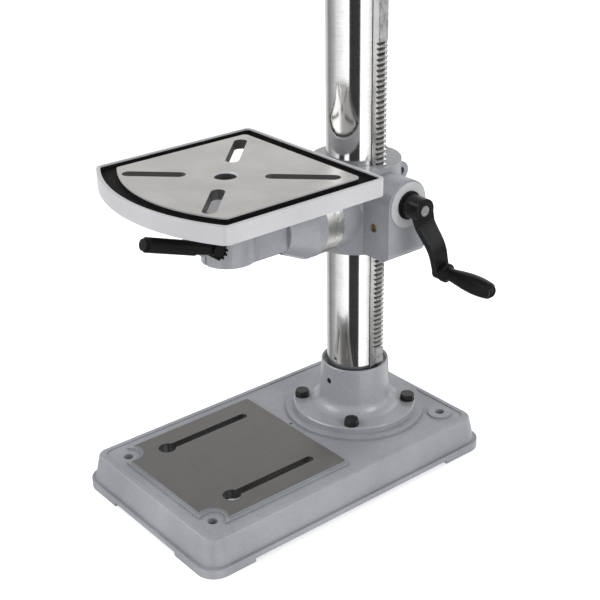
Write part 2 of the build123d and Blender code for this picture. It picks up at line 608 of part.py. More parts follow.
def stop_rod():
    rod = cyl_z(4.0, QUILL_LOW - 4, 842, STOP_X, STOP_Y)
    for z in (QUILL_LOW - 5, QUILL_LOW + 12):
        rod += hexagon(13, z, z + 6, STOP_X, STOP_Y)
    return rod


def stop_nuts():
    nuts = []
    for z in (826, 816.5):
        bore = cyl_z(4.0 + RUN, z - 1, z + 10, STOP_X, STOP_Y)
        nuts.append(hexagon(14, z, z + 8.5, STOP_X, STOP_Y) - bore)
    return group(nuts)


JAW_TILT = 14.0                      # slope of the jaws' bores
JAW_R = 3.6
JAW_LENGTH = 40.0
JAW_FLAT = 3.4                       # half opening between the jaws
JAW_TIP_Z = CHUCK_LOW - 6.0
JAW_TOP_Z = JAW_TIP_Z + 38.0
JAW_MID_R = 11.2                     # distance of a jaw's middle from the spindle's axis


def around_spindle(angle):
    return Pos(0, SPINDLE_Y, 0) * Rot(0, 0, angle)


def jaw_bar(r, length):
    middle = (JAW_TOP_Z + JAW_TIP_Z) / 2
    return Pos(JAW_MID_R, 0, middle) * Rot(0, JAW_TILT, 0) * Cylinder(r, length)


def jaw(i):
    """One chuck jaw: a round bar in its sloping bore, cut to a wedge where it grips."""
    nose = Polyline((JAW_FLAT, -0.7), (JAW_FLAT, 0.7), (JAW_FLAT + 5, 9.36), (30, 9.36),
                    (30, -9.36), (JAW_FLAT + 5, -9.36), close=True)
    keep = Pos(0, 0, JAW_TIP_Z) * extrude(make_face(nose), JAW_TOP_Z - JAW_TIP_Z)
    return around_spindle(120 * i + 90) * (jaw_bar(JAW_R, JAW_LENGTH) & keep)


def chuck_body():
    body = cyl_z(CHUCK_R, CHUCK_LOW, CHUCK_HIGH, 0, SPINDLE_Y)
    body += cyl_z(CHUCK_R + 2, CHUCK_HIGH - 16, CHUCK_HIGH, 0, SPINDLE_Y)
    body = fillet(body.edges().group_by(Axis.Z)[-1], 2.5)
    body = chamfer(body.edges().group_by(Axis.Z)[0], 4)
    body -= cone_z(7.0, 7.8, CHUCK_HIGH - 14, CHUCK_HIGH + 1, 0, SPINDLE_Y)
    body -= cyl_z(8.6, CHUCK_LOW - 1, CHUCK_LOW + 24, 0, SPINDLE_Y)
    for i in range(3):
        bore = jaw_bar(JAW_R + RUN, 66) & block(0, 40, -10, 10, CHUCK_LOW - 5, CHUCK_HIGH - 17)
        body -= around_spindle(120 * i + 90) * bore
        key = Pos(CHUCK_R, 0, CHUCK_HIGH - 8) * Rot(0, 90, 0) * Cylinder(3.4, 12)
        body -= around_spindle(120 * i + 30) * key
    return body


def chuck_sleeve():
    z0, z1 = CHUCK_LOW + 5, CHUCK_HIGH - 16.5
    ring = cyl_z(CHUCK_R + 5.5, z0, z1, 0, SPINDLE_Y)
    ring = chamfer(ring.edges().group_by(Axis.Z)[0], 3)
    ring -= cyl_z(CHUCK_R + RUN, z0 - 1, z1 + 1, 0, SPINDLE_Y)
    ring -= cyl_z(CHUCK_R + 3.6, z0 + 8, z1 - 2.5, 0, SPINDLE_Y)
    for i in range(36):
        flute = cyl_z(1.1, z0 + 5, z1 - 4, CHUCK_R + 5.9, 0)
        ring -= around_spindle(10 * i) * flute
    return ring


# ---------------------------------------------------------------- feed
def feed_shaft():
    shaft = cyl_x(9.0, -92, HEAD_HALF + 24, FEED_Y, FEED_Z)
    tip, root = FEED_R + FEED_MODULE * 0.75, FEED_R - FEED_MODULE * 1.2
    pinion = Circle(root)
    half = FEED_MODULE * 0.62
    tooth = Polyline((root - 1, -half * 1.4), (root, -half * 1.4), (tip, -half * 0.55),
                     (tip, half * 0.55), (root, half * 1.4), (root - 1, half * 1.4), close=True)
    face = make_face(tooth)
    for i in range(FEED_TEETH):
        pinion += Rot(0, 0, (i + 0.5) * 360 / FEED_TEETH) * face
    blank = extrude(pinion, 7.5, both=True)
    place = Pos(0, FEED_Y, FEED_Z) * Rot(0, 90, 0) * Rot(0, 0, 90 + 180 / FEED_TEETH)
    return shaft + place * blank


def feed_hub():
    x0 = HEAD_HALF + 6.4
    hub = cyl_x(26, x0, x0 + 9, FEED_Y, FEED_Z) + cyl_x(21, x0 + 9, x0 + 34, FEED_Y, FEED_Z)
    hub = fillet(hub.edges().group_by(Axis.X)[-1], 4)
    hub -= cyl_x(9.0, 0, HEAD_HALF + 24, FEED_Y, FEED_Z)
    for angle in ROD_ANGLES:
        hub -= rod_place(angle) * cyl_z(5.0, 9.2, 40)
    return hub


ROD_ANGLES = (80.0, 200.0, 320.0)
ROD_END = 118.0


def rod_place(angle):
    return Pos(HEAD_HALF + 28, FEED_Y, FEED_Z) * Rot(90 - angle, 0, 0) * Rot(0, 14, 0)


def feed_rods():
    return group([rod_place(a) * cyl_z(5.0, 10.5, ROD_END) for a in ROD_ANGLES])


def feed_knobs():
    knobs = []
    for a in ROD_ANGLES:
        ball = Pos(0, 0, ROD_END) * Sphere(15.5)
        collar = cone_z(8.2, 11, ROD_END - 16, ROD_END - 9)
        knobs.append(rod_place(a) * (ball + collar - cyl_z(5.0, 80, ROD_END)))
    return group(knobs)


def spring_cap():
    x1 = -HEAD_HALF - 4
    cap = cyl_x(29, x1 - 22, x1, FEED_Y, FEED_Z)
    cap = fillet(cap.edges().group_by(Axis.X)[0], 4)
    cap -= cyl_x(26, x1 - 19, x1 + 1, FEED_Y, FEED_Z)
    return cap - cyl_x(9.0 + GAP, x1 - 30, x1 + 1, FEED_Y, FEED_Z)


def return_spring():
    x1 = -HEAD_HALF - 4
    coils = []
    for r in (12.5, 15.0, 17.5, 20.0, 22.5):
        coils.append(Circle(r + 0.5) - Circle(r - 0.5))
    flat = coils[0]
    for ring in coils[1:]:
        flat += ring
    flat += Pos(17.5, 0) * Rectangle(11, 1.0)
    return Pos(x1 - 16, FEED_Y, FEED_Z) * Rot(0, 90, 0) * extrude(flat, 12)


def spring_nuts():
    x = -HEAD_HALF - 4 - 22
    nut = Pos(x, FEED_Y, FEED_Z) * Rot(0, -90, 0) * extrude(
        RegularPolygon(13, 6, major_radius=False), 4)
    return nut - cyl_x(9.0, -120, -60, FEED_Y, FEED_Z)


# ---------------------------------------------------------------- drive
PULLEY_Z = 858.0
BELT_Z = PULLEY_Z + 19.5
MID_R = 40.0


def groove(r, z):
    profile = Polyline((r - 7.5, z - 1.6), (r + 1, z - 4.6), (r + 1, z + 4.6),
                       (r - 7.5, z + 1.6), close=True)
    return revolve(Plane.XZ * make_face(profile), Axis.Z)


def pulley(radii, y, bore):
    """Three-step cone pulley with V grooves, 13 mm per step."""
    body = None
    for i, r in enumerate(radii):
        z = PULLEY_Z + 13 * i
        step = cyl_z(r, z, z + 13.01)
        body = step if body is None else body + step
    for i, r in enumerate(radii):
        body -= groove(r, PULLEY_Z + 13 * i + 6.5)
    return Pos(0, y, 0) * (body - cyl_z(bore, 840, 940))


def spindle_pulley():
    body = pulley((52.0, MID_R, 28.0), SPINDLE_Y, 8.5 + RUN)
    return body + (cyl_z(14, HEAD_HIGH + 5, PULLEY_Z, 0, SPINDLE_Y)
                   - cyl_z(8.5 + RUN, 840, 940, 0, SPINDLE_Y))


def pulley_bearing():
    z0, z1 = HEAD_HIGH - 8, HEAD_HIGH + 4.6
    ring = cyl_z(18, z0, HEAD_HIGH, 0, SPINDLE_Y) + cyl_z(24, HEAD_HIGH, z1, 0, SPINDLE_Y)
    return ring - cyl_z(9.2, z0 - 1, z1 + 1, 0, SPINDLE_Y)


def motor_pulley():
    return pulley((28.0, MID_R, 52.0), MOTOR_Y, 7.0)


def belt():
    """V belt on the middle steps, which are of equal size."""
    r = MID_R - 0.2
    profile = Polyline((r - 6.4, -1.5), (r - 0.6, -3.6), (r + 1.4, -3.6), (r + 1.4, 3.6),
                       (r - 0.6, 3.6), (r - 6.4, 1.5), close=True)
    face = make_face(profile)
    ring = revolve(Plane.XZ * face, Axis.Z)
    front = Pos(0, SPINDLE_Y, BELT_Z) * (ring & block(-60, 60, -60, 0, -9, 9))
    rear = Pos(0, MOTOR_Y, BELT_Z) * (ring & block(-60, 60, 0, 60, -9, 9))
    right = Pos(0, MOTOR_Y, BELT_Z) * extrude(Plane.XZ * face, MOTOR_Y - SPINDLE_Y)
    left = Pos(0, MOTOR_Y, BELT_Z) * Rot(0, 0, 180) * extrude(Plane.XZ * face, SPINDLE_Y - MOTOR_Y)
    return front + rear + right + left


def cover_outline(grow):
    centre = (SPINDLE_Y + MOTOR_Y) / 2
    return Pos(0, centre) * Rot(0, 0, 90) * SlotCenterToCenter(
        MOTOR_Y - SPINDLE_Y, 2 * (COVER_R + grow))


def cover_pan():
    pan = Pos(0, 0, PAN_Z) * extrude(cover_outline(0), LID_Z - PAN_Z)
    pan -= Pos(0, 0, PAN_Z + 2) * extrude(cover_outline(-2), LID_Z)
    pan -= cyl_z(26, 800, 900, 0, SPINDLE_Y)
    pan -= cyl_z(30, 800, 900, 0, MOTOR_Y)
    for y in HINGE_Y:
        pan += cyl_y(5, y - 22, y - 0.4, HINGE_X, LID_Z)
        pan += block(HINGE_X, -COVER_R + 1, y - 22, y - 0.4, LID_Z - 12, LID_Z - 1)
        pan -= cyl_y(2.0 + RUN, y - 30, y + 30, HINGE_X, LID_Z)
    return pan


HINGE_X = -97.0
HINGE_Y = (20.0, 150.0)


def cover_lid():
    z0 = LID_Z + 0.6
    lid = Pos(0, 0, z0) * extrude(cover_outline(1.5), COVER_TOP - z0)
    lid = fillet(lid.edges().group_by(Axis.Z)[-1], 14)
    inner = Pos(0, 0, z0 - 1) * extrude(cover_outline(-0.7), COVER_TOP - 2.2 - z0 + 1)
    inner = fillet(inner.edges().group_by(Axis.Z)[-1], 12)
    lid -= inner
    for y in HINGE_Y:
        lid += cyl_y(5, y, y + 22, HINGE_X, LID_Z)
        lid += block(HINGE_X, -COVER_R, y, y + 22, LID_Z + 1, LID_Z + 10)
        lid -= cyl_y(2.0 + RUN, y - 30, y + 30, HINGE_X, LID_Z)
    return lid


def hinge_pins():
    return group([cyl_y(2.0, y - 22, y + 22, HINGE_X, LID_Z) for y in HINGE_Y])


def lid_knob():
    x = COVER_R - 1.5
    stem = cyl_x(5, x + 3, x + 8, 60, LID_Z + 20)
    knob = cyl_x(11, x + 8, x + 20, 60, LID_Z + 20)
    return stem + fillet(knob.edges().group_by(Axis.X)[-1], 3)


ROTOR_R = 30.0


def motor_body():
    body = cyl_z(MOTOR_R, MOTOR_LOW + 22, MOTOR_HIGH - 14, 0, MOTOR_Y)
    for i in range(28):
        fin = block(MOTOR_R - 1, MOTOR_R + 4, -1.4, 1.4, MOTOR_LOW + 30, MOTOR_HIGH - 22)
        body += Pos(0, MOTOR_Y, 0) * Rot(0, 0, 360 / 28 * (i + 0.5)) * fin
    return body - cyl_z(ROTOR_R + 1, 600, 900, 0, MOTOR_Y)


def motor_end_covers():
    top = cyl_z(MOTOR_R - 1, MOTOR_HIGH - 14, MOTOR_HIGH, 0, MOTOR_Y)
    top = fillet(top.edges().group_by(Axis.Z)[-1], 5) - cyl_z(8.0, 600, 900, 0, MOTOR_Y)
    low = cyl_z(MOTOR_R - 1, MOTOR_LOW, MOTOR_LOW + 22, 0, MOTOR_Y)
    low = fillet(low.edges().group_by(Axis.Z)[0], 7)
    low -= cyl_z(MOTOR_R - 5, MOTOR_LOW + 4, MOTOR_LOW + 18, 0, MOTOR_Y)
    for r in (20.0, 34.0, 47.0):
        count = int(r / 3)
        for i in range(count):
            hole = cyl_z(2.6, MOTOR_LOW - 1, MOTOR_LOW + 5, r, 0)
            low -= Pos(0, MOTOR_Y, 0) * Rot(0, 0, 360 / count * i) * hole
    low -= cyl_z(8.0, MOTOR_LOW + 10, 900, 0, MOTOR_Y)
    return group([top, low])


def motor_shaft():
    shaft = cyl_z(7.0, MOTOR_LOW + 12, PULLEY_Z + 39, 0, MOTOR_Y)
    return shaft + cyl_z(ROTOR_R, MOTOR_LOW + 34, MOTOR_HIGH - 24, 0, MOTOR_Y)


def motor_mount():
    y0, y1 = 172.0, MOTOR_Y - MOTOR_R + 30
    saddle = block(-44, 44, y0, y1, 712, 722) + block(-44, 44, y0, y1, 784, 794)
    saddle += block(-44, 44, y0, y0 + 6, 706, 800)
    saddle -= cyl_z(MOTOR_R + 4.2, 700, 810, 0, MOTOR_Y)
    for x, z in mount_bolt_places():
        saddle -= cyl_y(3.6, y0 - 1, y0 + 7, x, z)
    return saddle


def mount_bolt_places():
    return [(x, z) for x in (-30.0, 30.0) for z in (735.0, 771.0)]


def mount_bolts():
    bolts = []
    for x, z in mount_bolt_places():
        head = Pos(x, 178, z) * Rot(-90, 0, 0) * extrude(RegularPolygon(6, 6, major_radius=False), 5)
        bolts.append(head + cyl_y(3.3, 160, 178.01, x, z))
    return group(bolts)


SWITCH_X, SWITCH_Z = -32.0, 775.0


def switch_box():
    box = block(SWITCH_X - 20, SWITCH_X + 20, -136, -128, SWITCH_Z - 31, SWITCH_Z + 31)
    box = fillet(box.edges().group_by(Axis.Y)[0], 2)
    return box - block(SWITCH_X - 10, SWITCH_X + 10, -137, -130, SWITCH_Z - 17, SWITCH_Z + 17)


def switch_paddle():
    rocker = Pos(SWITCH_X, -134.7, SWITCH_Z) * Rot(4, 0, 0) * Box(19, 3, 32.8)
    return rocker + cyl_x(1.5, SWITCH_X - 9.9, SWITCH_X + 9.9, -134.7, SWITCH_Z)


def cord_gland():
    y = 60.0
    gland = cyl_x(9, -HEAD_HALF - 8, -HEAD_HALF, y, 716) + cyl_x(6.5, -HEAD_HALF - 22,
                                                                 -HEAD_HALF - 8, y, 716)
    return gland - cyl_x(3.6, -HEAD_HALF - 30, -HEAD_HALF - 2, y, 716)


NODES = {
    "base": base,
    "column_foot": column_foot,
    "foot_bolts": foot_bolts,
    "set_screws": set_screws,
    "column": column,
    "rack": rack,
    "rack_ring": rack_ring,
    "table_bracket": table_bracket,
    "gear_pin": gear_pin,
    "lift_gear": lift_gear,
    "worm_shaft": worm_shaft,
    "worm_bush": worm_bush,
    "crank_arm": crank_arm,
    "crank_set_screw": lambda: set_screw_y(3.0, COLUMN_Y - 14, COLUMN_Y - 6.6, 104, CRANK_Z),
    "crank_grip": crank_grip,
    "crank_grip_bolt": crank_grip_bolt,
    "column_lock_screw": column_lock_screw,
    "column_lock_lever": column_lock_lever,
    "table_arm": table_arm,
    "tilt_bolt": tilt_bolt,
    "tilt_scale": tilt_scale,
    "tilt_pointer": tilt_pointer,
    "table_lock_screw": table_lock_screw,
    "table_lock_lever": table_lock_lever,
    "table": table,
    "head_casting": head_casting,
    "quill": quill,
    "quill_bearings": quill_bearings,
    "spindle": spindle,
    "quill_collar": quill_collar,
    "stop_rod": stop_rod,
    "stop_nuts": stop_nuts,
    "chuck_body": chuck_body,
    "chuck_sleeve": chuck_sleeve,
    "chuck_jaw_1": lambda: jaw(0),
    "chuck_jaw_2": lambda: jaw(1),
    "chuck_jaw_3": lambda: jaw(2),
    "feed_shaft": feed_shaft,
    "feed_hub": feed_hub,
    "feed_rods": feed_rods,
    "feed_knobs": feed_knobs,
    "return_spring": return_spring,
    "spring_cap": spring_cap,
    "spring_nut": spring_nuts,
    "pulley_bearing": pulley_bearing,
    "spindle_pulley": spindle_pulley,
    "motor_pulley": motor_pulley,
    "belt": belt,
    "cover_pan": cover_pan,
    "cover_lid": cover_lid,
    "hinge_pins": hinge_pins,
    "lid_knob": lid_knob,
    "motor_body": motor_body,
    "motor_end_covers": motor_end_covers,
    "motor_shaft": motor_shaft,
    "motor_mount": motor_mount,
    "mount_bolts": mount_bolts,
    "switch_box": switch_box,
    "switch_paddle": switch_paddle,
    "cord_gland": cord_gland,
}

for node, make in NODES.items():
    write(node, make())
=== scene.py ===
import math
import bpy
from mathutils import Matrix, Vector

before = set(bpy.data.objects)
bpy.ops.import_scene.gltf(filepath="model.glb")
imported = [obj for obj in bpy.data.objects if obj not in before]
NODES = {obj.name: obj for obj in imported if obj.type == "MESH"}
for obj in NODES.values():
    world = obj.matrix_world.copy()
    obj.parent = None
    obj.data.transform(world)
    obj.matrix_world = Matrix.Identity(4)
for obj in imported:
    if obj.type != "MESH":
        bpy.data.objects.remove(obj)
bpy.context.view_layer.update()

# Driving places of the drill press, in metres, as the CAD has them.
COLUMN_Y = 0.1145
SPINDLE_Y = -0.0815
SLOT_X, SLOT_Y = 0.068, -0.0845   # keyholes of the base
TABLE_Z = 0.416
PAD_Z = 0.049
TILT_Z = 0.334

# Outline of the table about its own axis: half width, back edge and bowed front edge.
TABLE_HALF, TABLE_BACK = 0.1263, 0.1292
BOW_RADIUS, BOW_CENTRE = 0.2373, 0.1092

# Grey enamel over cast iron.
CAST_DARK, CAST_LIGHT = (0.180, 0.186, 0.202, 1), (0.285, 0.294, 0.315, 1)


# ---------------------------------------------------------------- node helpers
class Graph:
    """A material's node tree, with short calls for the nodes that are used often."""

    def __init__(self, name):
        self.material = bpy.data.materials.new(name)
        self.material.use_nodes = True
        self.tree = self.material.node_tree
        self.shader = self.tree.nodes["Principled BSDF"]
        self.place = self.add("ShaderNodeTexCoord").outputs["Object"]

    def add(self, kind, **settings):
        node = self.tree.nodes.new(kind)
        for key, value in settings.items():
            setattr(node, key, value)
        return node

    def feed(self, socket, value):
        if isinstance(value, bpy.types.NodeSocket):
            self.tree.links.new(value, socket)
        else:
            socket.default_value = value

    def stretch(self, scale):
        node = self.add("ShaderNodeMapping")
        self.feed(node.inputs["Vector"], self.place)
        node.inputs["Scale"].default_value = scale
        return node.outputs["Vector"]

    def noise(self, scale, detail=3.0, rough=0.55, vector=None, warp=0.0):
        node = self.add("ShaderNodeTexNoise")
        self.feed(node.inputs["Vector"], vector or self.place)
        node.inputs["Scale"].default_value = scale
        node.inputs["Detail"].default_value = detail
        node.inputs["Roughness"].default_value = rough
        node.inputs["Distortion"].default_value = warp
        return node.outputs["Fac"]

    def cells(self, scale, feature="F1"):
        node = self.add("ShaderNodeTexVoronoi", feature=feature)
        self.feed(node.inputs["Vector"], self.place)
        node.inputs["Scale"].default_value = scale
        return node.outputs["Distance"]

    def span(self, value, low, high, out_low=0.0, out_high=1.0):
        node = self.add("ShaderNodeMapRange")
        self.feed(node.inputs["Value"], value)
        for socket, number in (("From Min", low), ("From Max", high),
                               ("To Min", out_low), ("To Max", out_high)):
            node.inputs[socket].default_value = number
        return node.outputs["Result"]

    def math(self, what, a, b=0.0):
        node = self.add("ShaderNodeMath", operation=what)
        self.feed(node.inputs[0], a)
        self.feed(node.inputs[1], b)
        return node.outputs["Value"]

    def blend(self, amount, a, b):
        node = self.add("ShaderNodeMix", data_type="RGBA")
        self.feed(node.inputs["Factor"], amount)
        self.feed(node.inputs[6], a)
        self.feed(node.inputs[7], b)
        return node.outputs[2]

    def mix(self, amount, a, b):
        node = self.add("ShaderNodeMix", data_type="FLOAT")
        self.feed(node.inputs["Factor"], amount)
        self.feed(node.inputs[2], a)
        self.feed(node.inputs[3], b)
        return node.outputs[0]

    def bump(self, height, strength, depth, under=None):
        node = self.add("ShaderNodeBump")
        self.feed(node.inputs["Height"], height)
        node.inputs["Strength"].default_value = strength
        node.inputs["Distance"].default_value = depth
        if under:
            self.feed(node.inputs["Normal"], under)
        return node.outputs["Normal"]

    def xyz(self):
        node = self.add("ShaderNodeSeparateXYZ")
        self.feed(node.inputs["Vector"], self.place)
        return node.outputs["X"], node.outputs["Y"], node.outputs["Z"]

    def facing_z(self):
        node = self.add("ShaderNodeSeparateXYZ")
        self.feed(node.inputs["Vector"], self.add("ShaderNodeNewGeometry").outputs["True Normal"])
        return node.outputs["Z"]

    def finish(self, colour, roughness, normal=None, metal=0.0, coat=0.0, gloss=0.5):
        self.feed(self.shader.inputs["Base Color"], colour)
        self.feed(self.shader.inputs["Roughness"], roughness)
        self.feed(self.shader.inputs["Metallic"], metal)
        self.shader.inputs["Coat Weight"].default_value = coat
        self.shader.inputs["Coat Roughness"].default_value = 0.12
        self.feed(self.shader.inputs["Specular IOR Level"], gloss)
        if normal:
            self.feed(self.shader.inputs["Normal"], normal)
        return self.material


def grey(value, warm=0.0):
    return (value * (1 + warm), value, value * (1 - warm), 1.0)


# ---------------------------------------------------------------- finishes
def paint_parts(g, dark, light):
    """Colour, roughness and normal of grey enamel over rough cast iron."""
    cloud = g.noise(9.0, 4.0)
    speckle = g.noise(620.0, 2.0, 0.6)
    tone = g.math("ADD", g.span(cloud, 0.35, 0.65, 0.0, 0.55),
                  g.span(speckle, 0.3, 0.7, 0.0, 0.45))
    colour = g.blend(tone, dark, light)
    pits = g.span(g.cells(430.0), 0.0, 0.55)
    normal = g.bump(g.noise(240.0, 3.0, 0.6, warp=0.4), 0.6, 0.0008)
    normal = g.bump(pits, 0.16, 0.0004, normal)
    rough = g.span(g.noise(130.0, 3.0), 0.3, 0.7, 0.34, 0.5)
    return colour, rough, normal


def cast_paint(name, dark=CAST_DARK, light=CAST_LIGHT):
    g = Graph(name)
    colour, rough, normal = paint_parts(g, dark, light)
    return g.finish(colour, rough, normal, coat=0.4)


def base_finish():
    """Painted casting with a front pad ground to bare dark iron, and painted shade colouring the keyhole
    walls near black.
    """
    g = Graph("base_casting")
    colour, rough, normal = paint_parts(g, CAST_DARK, CAST_LIGHT)
    x, y, z = g.xyz()
    up = g.span(g.facing_z(), 0.8, 0.95)
    bare = g.math("MULTIPLY", g.span(z, PAD_Z - 0.0006, PAD_Z - 0.0003), up)
    across = g.math("ABSOLUTE", g.math("SUBTRACT", g.math("ABSOLUTE", x), SLOT_X))
    along = g.math("ABSOLUTE", g.math("SUBTRACT", y, SLOT_Y))
    # Mask of the keyhole walls, which are coloured near black as painted shade for the shadow inside the
    # slots.
    slot_shade = g.math("MULTIPLY", g.span(across, 0.0118, 0.0115), g.span(along, 0.0690, 0.0686))
    slot_shade = g.math("MULTIPLY", g.math("MULTIPLY", slot_shade, g.math("SUBTRACT", 1.0, up)),
                  g.span(z, 0.024, 0.0245))
    grain = g.noise(1.0, 4.0, 0.65, g.stretch((900.0, 30.0, 60.0)))
    stain = g.noise(22.0, 5.0, 0.6)
    iron = g.blend(g.math("MULTIPLY", g.span(grain, 0.25, 0.75), g.span(stain, 0.3, 0.7, 0.5, 1.0)),
                   (0.118, 0.115, 0.112, 1), (0.162, 0.158, 0.152, 1))
    ground = g.bump(grain, 0.18, 0.00012)
    vector = g.add("ShaderNodeMix", data_type="VECTOR")
    g.feed(vector.inputs["Factor"], bare)
    g.feed(vector.inputs[4], normal)
    g.feed(vector.inputs[5], ground)
    # The keyhole walls get near-black painted shade here, over the paint and bare iron.
    colour = g.blend(slot_shade, g.blend(bare, colour, iron), (0.012, 0.012, 0.012, 1))
    return g.finish(colour, g.mix(bare, rough, g.span(grain, 0.2, 0.8, 0.26, 0.4)),
                    vector.outputs[1], g.mix(bare, 0.0, 0.75), coat=0.05)


def table_finish():
    """Smooth grey rim and underside, coarse dark trough and a ground working face."""
    g = Graph("table_iron")
    x, y, z = g.xyz()
    up = g.span(g.facing_z(), 0.75, 0.95)
    forward = g.math("SUBTRACT", y, SPINDLE_Y)
    from_centre = g.math("SUBTRACT", forward, BOW_CENTRE)
    squares = g.math("ADD", g.math("MULTIPLY", x, x),
                     g.math("MULTIPLY", from_centre, from_centre))
    from_front = g.math("SUBTRACT", BOW_RADIUS, g.math("SQRT", squares))
    from_back = g.math("SUBTRACT", TABLE_BACK, forward)
    from_side = g.math("SUBTRACT", TABLE_HALF, g.math("ABSOLUTE", x))
    inset = g.math("MINIMUM", from_front, g.math("MINIMUM", from_back, from_side))
    high = g.span(z, TABLE_Z - 0.0028, TABLE_Z - 0.0022)
    inside = g.span(inset, 0.0100, 0.0106)
    face = g.math("MULTIPLY", g.math("MULTIPLY", high, inside), up)
    deep = g.math("MULTIPLY", g.span(inset, 0.0030, 0.0034),
                  g.span(z, TABLE_Z - 0.0015, TABLE_Z - 0.0019))
    low = g.math("MULTIPLY", g.span(z, TABLE_Z - 0.0078, TABLE_Z - 0.0072), deep)
    trough = g.math("MULTIPLY", low, g.span(inset, 0.0255, 0.0245))
    walls = g.math("MULTIPLY", g.span(z, TABLE_Z - 0.0175, TABLE_Z - 0.017),
                   g.span(inset, 0.0262, 0.0270))
    walls = g.math("MULTIPLY", walls, g.math("SUBTRACT", 1.0, g.span(g.facing_z(), 0.2, 0.4)))
    paint, rough, normal = paint_parts(g, (0.36, 0.36, 0.375, 1), (0.45, 0.45, 0.465, 1))
    grit = g.noise(700.0, 4.0, 0.7)
    black = g.blend(g.span(grit, 0.52, 0.72), (0.006, 0.006, 0.006, 1), (0.045, 0.044, 0.043, 1))
    rings = g.noise(1.0, 3.0, 0.6, g.stretch((24.0, 700.0, 24.0)))
    shade = g.noise(26.0, 4.0, 0.6)
    metal = g.blend(g.math("ADD", g.span(rings, 0.2, 0.8, 0.0, 0.5),
                           g.span(shade, 0.3, 0.7, 0.0, 0.5)),
                    (0.37, 0.36, 0.345, 1), (0.53, 0.515, 0.50, 1))
    colour = g.blend(face, g.blend(trough, paint, black), metal)
    colour = g.blend(walls, colour, (0.045, 0.044, 0.043, 1))
    roughness = g.mix(face, g.mix(trough, rough, 0.62), g.span(rings, 0.2, 0.8, 0.3, 0.42))
    soft = g.mix(trough, g.math("MULTIPLY", g.noise(300.0, 2.0), 0.25), grit)
    soft = g.mix(face, soft, g.math("MULTIPLY", rings, 0.12))
    return g.finish(colour, roughness, g.bump(soft, 0.55, 0.0006), g.mix(face, 0.0, 0.85),
                    gloss=g.mix(trough, 0.5, 0.05))


def bracket_finish():
    """Painted casting with a turned bare band where the tilt joint closes."""
    g = Graph("bracket_casting")
    colour, rough, normal = paint_parts(g, (0.165, 0.171, 0.186, 1), (0.265, 0.274, 0.294, 1))
    x, y, z = g.xyz()
    drop = g.math("SUBTRACT", z, TILT_Z)
    radius = g.math("SQRT", g.math("ADD", g.math("MULTIPLY", x, x), g.math("MULTIPLY", drop, drop)))
    band = g.math("MULTIPLY", g.span(y, 0.0562, 0.0558), g.span(radius, 0.0450, 0.0453))
    marks = g.noise(1.0, 3.0, 0.6, g.stretch((20.0, 2200.0, 20.0)))
    bright = g.blend(g.span(marks, 0.25, 0.75), (0.56, 0.55, 0.53, 1), (0.76, 0.75, 0.73, 1))
    return g.finish(g.blend(band, colour, bright), g.mix(band, rough, 0.28), normal,
                    g.mix(band, 0.0, 1.0), coat=0.2)


def steel(name, dark, light, rough=(0.18, 0.3), grain=(40.0, 40.0, 1400.0), depth=0.00006):
    """Bare metal with grinding marks across the grain and faint stains."""
    g = Graph(name)
    marks = g.noise(1.0, 3.0, 0.6, g.stretch(grain))
    stain = g.noise(30.0, 5.0, 0.6)
    tone = g.math("ADD", g.span(marks, 0.25, 0.75, 0.0, 0.5), g.span(stain, 0.3, 0.7, 0.0, 0.5))
    return g.finish(g.blend(tone, dark, light), g.span(marks, 0.2, 0.8, rough[0], rough[1]),
                    g.bump(marks, 0.3, depth), 1.0)


def rack_finish():
    """Bright milled rack, oily and dark in the bottom of its tooth spaces."""
    g = Graph("rack_steel")
    x, y, z = g.xyz()
    crest = g.span(x, 0.0432, 0.0466)
    marks = g.noise(1.0, 3.0, 0.6, g.stretch((60.0, 900.0, 60.0)))
    spots = g.noise(160.0, 4.0, 0.6)
    clean = g.blend(g.span(marks, 0.25, 0.75), (0.62, 0.62, 0.62, 1), (0.80, 0.80, 0.79, 1))
    oily = g.blend(g.span(spots, 0.3, 0.7), (0.10, 0.095, 0.085, 1), (0.33, 0.32, 0.30, 1))
    side = g.span(g.math("ABSOLUTE", g.math("SUBTRACT", y, COLUMN_Y)), 0.0069, 0.0071)
    return g.finish(g.blend(g.math("MAXIMUM", crest, side), oily, clean),
                    g.span(spots, 0.3, 0.7, 0.24, 0.42), g.bump(marks, 0.3, 0.0001), 1.0)


def tilt_finish():
    """Turned band of the tilt joint, with fine degree lines cut across it."""
    g = Graph("tilt_band")
    x, y, z = g.xyz()
    angle = g.math("ARCTAN2", x, g.math("SUBTRACT", z, TILT_Z))
    degrees = g.math("MULTIPLY", angle, 180.0 / math.pi)
    turned = g.math("FLOORED_MODULO", g.math("ADD", degrees, 2.5), 5.0)
    near = g.math("ABSOLUTE", g.math("SUBTRACT", turned, 2.5))
    reach = g.math("MULTIPLY", g.span(y, 0.0335, 0.0338),
                   g.span(g.math("ABSOLUTE", degrees), 46.0, 45.9))
    line = g.math("MULTIPLY", g.span(near, 0.34, 0.22), reach)
    marks = g.noise(1.0, 3.0, 0.6, g.stretch((20.0, 2200.0, 20.0)))
    stain = g.noise(45.0, 4.0, 0.6)
    bright = g.blend(g.span(marks, 0.25, 0.75), (0.55, 0.54, 0.52, 1), (0.74, 0.73, 0.71, 1))
    colour = g.blend(line, bright, (0.03, 0.03, 0.03, 1))
    return g.finish(colour, g.span(stain, 0.3, 0.7, 0.24, 0.36), g.bump(marks, 0.3, 0.00008),
                    g.mix(line, 1.0, 0.1))


def dark(name, low, high, rough, grain=320.0, depth=0.00018, metal=0.0, coat=0.0,
         gloss=0.5):
    """Dark enamel, oxide or plastic with a fine skin and uneven sheen."""
    g = Graph(name)
    skin = g.noise(grain, 4.0, 0.6)
    cloud = g.noise(24.0, 4.0, 0.55)
    tone = g.math("ADD", g.span(skin, 0.3, 0.7, 0.0, 0.5), g.span(cloud, 0.3, 0.7, 0.0, 0.5))
    return g.finish(g.blend(tone, low, high), g.span(cloud, 0.3, 0.7, rough[0], rough[1]),
                    g.bump(skin, 0.35, depth), metal, coat, gloss)


